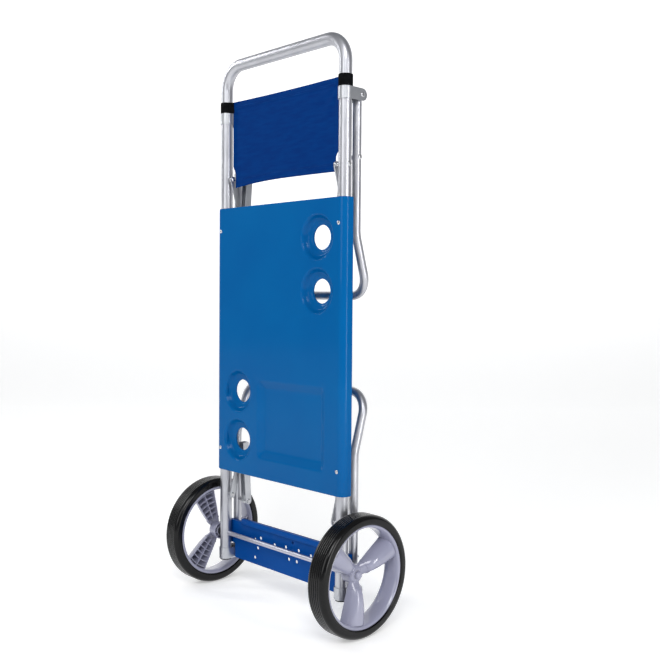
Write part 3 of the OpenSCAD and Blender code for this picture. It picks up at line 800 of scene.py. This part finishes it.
def rim(lean):
    """Barrel and hub as turned profiles (radius, along the axle), three petals and the hub's webs."""
    barrel = [
        (99.6, 20), (98.4, 19.6), (96.9, 18.4), (95.4, 15.8), (94.2, 11.5), (93.3, 5), (92.8, -2),
        (92.6, -9), (93.1, -14.5), (94.8, -18.2), (96.8, -19.7), (99.2, -20), (100.7, -19.4),
        (101, -18.2), (98.1, -14.2), (98.1, 14.2), (101, 18.2), (100.8, 19.4),
    ]
    hub = [
        (8.2, -3), (10, -2.8), (12.5, -3.2), (15, -4.4), (17, -6.4), (18.4, -9.2), (19, -12.5),
        (19, HUB_IN + 0.6), (18.5, HUB_IN), (16.8, HUB_IN), (16.4, HUB_IN + 0.5), (16.4, -13),
        (11.2, -13), (11.2, HUB_IN + 0.5), (10.8, HUB_IN), (8.2, HUB_IN),
    ]
    web = blocks((HUB_IN + 1, 10.5, -0.8), (-12, 17, 0.8))
    webs = [moved(web, Matrix.Rotation(TURN * i / 8 + 0.2, 4, "X")) for i in range(8)]
    one = petal()
    petals = [moved(one, Matrix.Rotation(math.radians(lean + 120 * i), 4, "X")) for i in range(3)]
    return join(turned(barrel, 144, True), turned(hub, 72, True), *webs, *petals)


def tyre():
    """Flat tread with five fine grooves, round shoulders, plain side walls and beads in the rim's lips."""
    half, shoulder = (TYRE_HIGH[0] - TYRE_LOW[0]) / 2, 9.5
    wall = [
        (98.3, 14), (101.3, 17.6), (101.3, half - 1.6), (102.2, half - 0.5), (103.6, half),
        (107, half), (109.5, half - 0.2),
    ]
    a = np.radians(np.linspace(78, 0, 9))
    round_edge = np.stack([shoulder * np.cos(a), shoulder * np.sin(a)], axis=1)
    side = np.concatenate([wall, round_edge + (WHEEL_R - shoulder, half - shoulder)])
    groove = np.array([
        (0, 0.9), (-0.15, 0.65), (-0.9, 0.4), (-0.9, -0.4), (-0.15, -0.65), (0, -0.9),
    ])
    grooves = np.concatenate([groove + (WHEEL_R, middle) for middle in (10, 5, 0, -5, -10)])
    return turned(np.concatenate([side, grooves, side[::-1] * (1, -1)]), 192, True)


def make_wheel(side, sign, lean):
    """Rim, tyre and hub cap of one side, the rim's first petal lean degrees from straight back."""
    place = Matrix.Translation((sign * WHEEL_X, 0, AXLE_Z)) @ Matrix.Diagonal((sign, 1, 1, 1))
    body = f"wheel_{side}"
    moulding, tread = moved(rim(lean), place), moved(tyre(), place)
    piece(f"rim_moulding_{side}", moulding, "wheel_plastic", body, [f"rim_{side}"], smooth_below=35)
    piece(f"tyre_tread_{side}", tread, "tyre", body, [f"tyre_{side}"], smooth_below=40)
    low, high = box("hub_cap_right")
    base, tall = low[0] - WHEEL_X, high[0] - low[0]
    dome = np.array([
        (0, 0), (7.7, 0), (8, 0.4), (8, tall - 4), (7.7, tall - 2.4), (6.8, tall - 1.1),
        (5, tall - 0.35), (2.6, tall - 0.05), (0, tall),
    ])
    cap = moved(turned(dome + (0, base), 48, False), place)
    piece(f"hub_cap_dome_{side}", cap, "wheel_plastic", "root", [f"hub_cap_{side}"], smooth_below=35)


# ---- Load platform ----

PLATFORM_LOW, PLATFORM_HIGH = box("load_platform")
PLATFORM_FRONT, PLATFORM_SKIN = TUBE_R + 0.5, 2.0
LIP_X, NOTCH_X, NOTCH_Z, SHOULDER_Z = 141, 171, 96, 148
DRAIN_R, DRAIN_ROUND = 3.5, 1.4
DRAINS = np.array([
    (-100, 78), (-100, 119), (-90, 101), (-80, 125), (-33, 120), (4, 123), (14, 99), (26, 137),
    (26, 117), (39, 99), (45, 124), (83, 121), (97, 104), (104, 82),
])


def inside_loop(loop, x, z):
    """True where a ray from x, z to the side crosses the closed outline an odd number of times."""
    (x0, z0), (x1, z1) = loop.T[:, None, :], np.roll(loop, -1, axis=0).T[:, None, :]
    x, z = np.ravel(x)[:, None], np.ravel(z)[:, None]
    spans = (z0 > z) != (z1 > z)
    height = np.where(spans, z1 - z0, 1.0)
    return (spans & (x < x0 + (z - z0) / height * (x1 - x0))).sum(axis=1) % 2 == 1


def from_drains(x, z):
    """Distance to the middle of the nearest drain hole."""
    dx, dz = np.ravel(x)[:, None] - DRAINS[:, 0], np.ravel(z)[:, None] - DRAINS[:, 1]
    return np.hypot(dx, dz).min(axis=1)


def make_platform():
    """The plate with its drain holes, the hooked lip along its top, and the ribs behind it."""
    bottom, top, end = PLATFORM_LOW[2], PLATFORM_HIGH[2], PLATFORM_HIGH[0]
    right = [
        (NOTCH_X, bottom), (NOTCH_X, NOTCH_Z), (end, NOTCH_Z), (end, SHOULDER_Z),
        (LIP_X, SHOULDER_Z), (LIP_X, top),
    ]
    outline = rounded_loop(right + [(-x, z) for x, z in right[::-1]], 3)
    drain_rings = (DRAIN_R, DRAIN_R + 0.6, DRAIN_R + DRAIN_ROUND)
    loops = [outline] + [circle(*drain, r, 20) for drain in DRAINS for r in drain_rings]
    x, z = np.meshgrid(np.linspace(8 - end, end - 8, 40), np.linspace(bottom + 6, top - 6, 10))
    clear = inside_loop(outline, x, z) & (from_drains(x, z) > DRAIN_R + 3)
    points, triangles = cut_sheet(
        loops, np.stack([x.ravel()[clear], z.ravel()[clear]], axis=1),
        lambda x, z: inside_loop(outline, x, z) & (from_drains(x, z) > DRAIN_R * 0.98),
    )
    x, z = points.T
    # the rims of the drain holes roll in a little
    roll = 0.5 * (1 - eased(from_drains(x, z), DRAIN_R, DRAIN_R + DRAIN_ROUND))
    front = np.stack([x, PLATFORM_FRONT + roll, z], axis=1)
    back = np.stack([x, np.full_like(x, PLATFORM_FRONT + PLATFORM_SKIN), z], axis=1)
    skin = plate(front, back, triangles)
    piece("platform_plate", skin, "platform", "lower_leg", ["load_platform"], smooth_below=35)

    # the hooked lip in section: (back from the plate's face, up from its top edge)
    section = np.array([
        (1.5, 0), (-5.2, 0), (-6.4, -0.5), (-7, -1.8), (-7, -10.4), (-6.4, -11.6), (-5.2, -12),
        (-4.4, -11.4), (-4, -10), (-4, -4.4), (-3.2, -3.2), (-2, -3), (1.5, -3),
    ])
    stations = np.concatenate([[-LIP_X], np.linspace(1.5 - LIP_X, LIP_X - 1.5, 12), [LIP_X]])
    shrink = np.where(np.abs(stations) == LIP_X, 0.86, 1.0)[:, None]
    y = PLATFORM_FRONT + section[:, 0] * shrink
    z = top + section[:, 1] * shrink - 4 * (1 - shrink)
    lip = np.stack(np.broadcast_arrays(stations[:, None], y, z), axis=-1)
    piece("platform_lip", capped(lip), "platform", "lower_leg", smooth_below=50)

    low, high, level, t = bottom + 0.5, SHOULDER_Z, 170, 1.1
    spans = [(x - t, x + t, low, high) for x in (-131, -56, -18, 18, 56, 131)]
    spans += [(-level, level, z - t, z + t) for z in (bottom + 1.6, bottom + 26, high - 1.6)]
    spans += [(NOTCH_X - 2 * t, NOTCH_X, low, high), (-NOTCH_X, 2 * t - NOTCH_X, low, high)]
    ear = (NOTCH_Z + 0.5, high - 0.5)
    spans += [(NOTCH_X, end - 0.5, *ear), (0.5 - end, -NOTCH_X, *ear)]
    platform_ribs = ribs(spans, PLATFORM_FRONT + 1.5, PLATFORM_HIGH[1] - 0.3)
    piece("platform_ribs", platform_ribs, "platform", "lower_leg", edge=0.4)


# ---- Storage panel and its webbing loops ----

PANEL_LOW, PANEL_HIGH = box("storage_panel")
PANEL_HALF = PANEL_HIGH[0]
PANEL_Y = (PANEL_LOW[1] + PANEL_HIGH[1]) / 2
HEM, STITCH, STITCH_PITCH = 17.0, 2.4, 3.6
DRAWN_IN = 9.6  # how far the lower corners draw in to clear the arms


def panel_place(share, z):
    """Middle of the cloth at share across, -1 to 1, and height z. Pull lines, sines of the angle round
    each strap that die away with distance, fan out over a belly of half a sine each way. The lower
    corners draw in and droop, and the upper hem sags by a parabola."""
    up = np.clip((z - PANEL_LOW[2]) / (PANEL_HIGH[2] - PANEL_LOW[2]), 0, 1)
    waist = 0.8 * np.sin(math.pi * up)
    half = PANEL_HALF - waist - DRAWN_IN * (1 - eased(z, PANEL_LOW[2] + 28, PANEL_LOW[2] + 46))
    x = share * half
    relief = 0.7 * np.cos(math.pi * share / 2) * np.sin(math.pi * up)
    for side in (-1, 1):
        dx, dz = PANEL_HALF - side * x, PANEL_HIGH[2] - 12 - z
        reach = np.hypot(dx, dz)
        pull = np.sin(11 * np.arctan2(dz, dx) + side) * np.exp(-reach / 70)
        relief = relief + 0.9 * pull * eased(reach, 6, 34)
    relief = relief + 0.4 * np.sin(x / 38 + 0.7) * (1 - eased(up, 0.0, 0.35))
    relief = relief + 0.2 * np.sin(x / 23 + z / 31) * np.sin(z / 27 - 0.4)
    sag = 1.8 * (1 - share**2) * eased(up, 0.6, 1)
    lift = (0.7 - np.where(share < 0, 8, 2) * share**2) * (1 - eased(up, 0, 0.45))
    return x, PANEL_Y + relief, z - sag + lift


def panel_half_thickness(share, z):
    """Twice as thick along the hems, rounded off at every edge."""
    from_hem = np.minimum(z - PANEL_LOW[2], PANEL_HIGH[2] - z)
    side_hem = 0.6 * eased(np.abs(share), 0.945, 0.955)
    doubled = np.maximum(1 - eased(from_hem, HEM - 1.2, HEM + 0.4), side_hem)
    edge = np.clip(np.minimum(from_hem / 1.2, (1 - np.abs(share)) * 60), 0.04, 1)
    return (0.5 + 0.75 * doubled) * np.sqrt(edge)


def make_panel():
    """The cloth as one closed skin over a grid of places, and its stitches."""
    low, high = PANEL_LOW[2], PANEL_HIGH[2]
    shares = np.concatenate([[-1, -0.996], np.linspace(-0.985, 0.985, 121), [0.996, 1]])
    heights = np.concatenate([[low, low + 0.5], np.linspace(low + 1.5, high - 1.5, 90), [high - 0.5, high]])
    share, height = np.meshgrid(shares, heights)
    x, y, z = panel_place(share, height)
    thick = panel_half_thickness(share, height)
    cloth = shell(np.stack([x, y - thick, z], axis=2), np.stack([x, y + thick, z], axis=2))
    panel = piece(
        "storage_panel_cloth", cloth, "panel_fabric", "root", ["storage_panel"], smooth_below=60
    )

    # two rows of stitches on the upper hem and one on the lower, on both faces
    rows = np.array([low + HEM - 2.5, high - HEM + 2.5, high - HEM + 6])
    share, height = np.meshgrid(np.arange(-0.94, 0.94, STITCH_PITCH / PANEL_HALF), rows)
    x, y, z = (v.ravel() for v in panel_place(share, height))
    thick = panel_half_thickness(share, height).ravel()
    faces = [np.stack([x, y + face * (thick + 0.05), z], axis=1) for face in (-1, 1)]
    middles, reach = np.concatenate(faces), np.array((STITCH / 2, 0.25, 0.3))
    threads = blocks(middles - reach, middles + reach)
    stitches = piece("panel_stitches", threads, "panel_fabric", "root", material=THREAD)


def make_straps():
    """Webbing loops: a flat tape, its section carried along a path that goes once round the tube, with
    both its ends sewn into the panel's edge."""
    edge, y, tape_half = PANEL_HALF, PANEL_Y, 0.65
    start = [(edge - 5, y - 0.4), (edge - 1, y - 0.8), (edge + 2, y - 2.2)]
    end = [(edge + 2, y + 1.4), (edge - 1, y + 0.6), (edge - 5, y + 0.4)]
    a = np.radians(np.linspace(197, 523, 48))
    radius = TUBE_R + tape_half + 0.3
    ring = np.stack([TUBE_X + radius * np.cos(a), radius * np.sin(a)], axis=1)
    path = np.concatenate([start, ring, end])
    along = np.gradient(path, axis=0)
    along /= np.linalg.norm(along, axis=1, keepdims=True)
    out = np.stack([along[:, 1], -along[:, 0]], axis=1)
    for side, sign in (("left", -1), ("right", 1)):
        low, high = box(f"strap_{side}")
        half = (high[2] - low[2]) / 2 - 0.2
        flank = [(-tape_half, 0.5 - half), (-tape_half, half - 0.5), (0, half)]
        section = np.array(flank + [(-t, -w) for t, w in flank])
        flat = path[:, None] + out[:, None] * section[None, :, :1]
        z = np.broadcast_to((low[2] + high[2]) / 2 + section[None, :, 1], flat.shape[:2])
        tape = capped(np.stack([sign * flat[..., 0], flat[..., 1], z], axis=-1))
        piece(f"webbing_loop_{side}", tape, "webbing", "root", [f"strap_{side}"], smooth_below=50)


make_camera()
make_studio()
dress_packed_nodes()
make_board()
make_board_screws()
make_rivets()
make_wheel("right", 1, -97)  # the petals' angles at rest, in degrees
make_wheel("left", -1, -8)
make_platform()
make_straps()
make_panel()
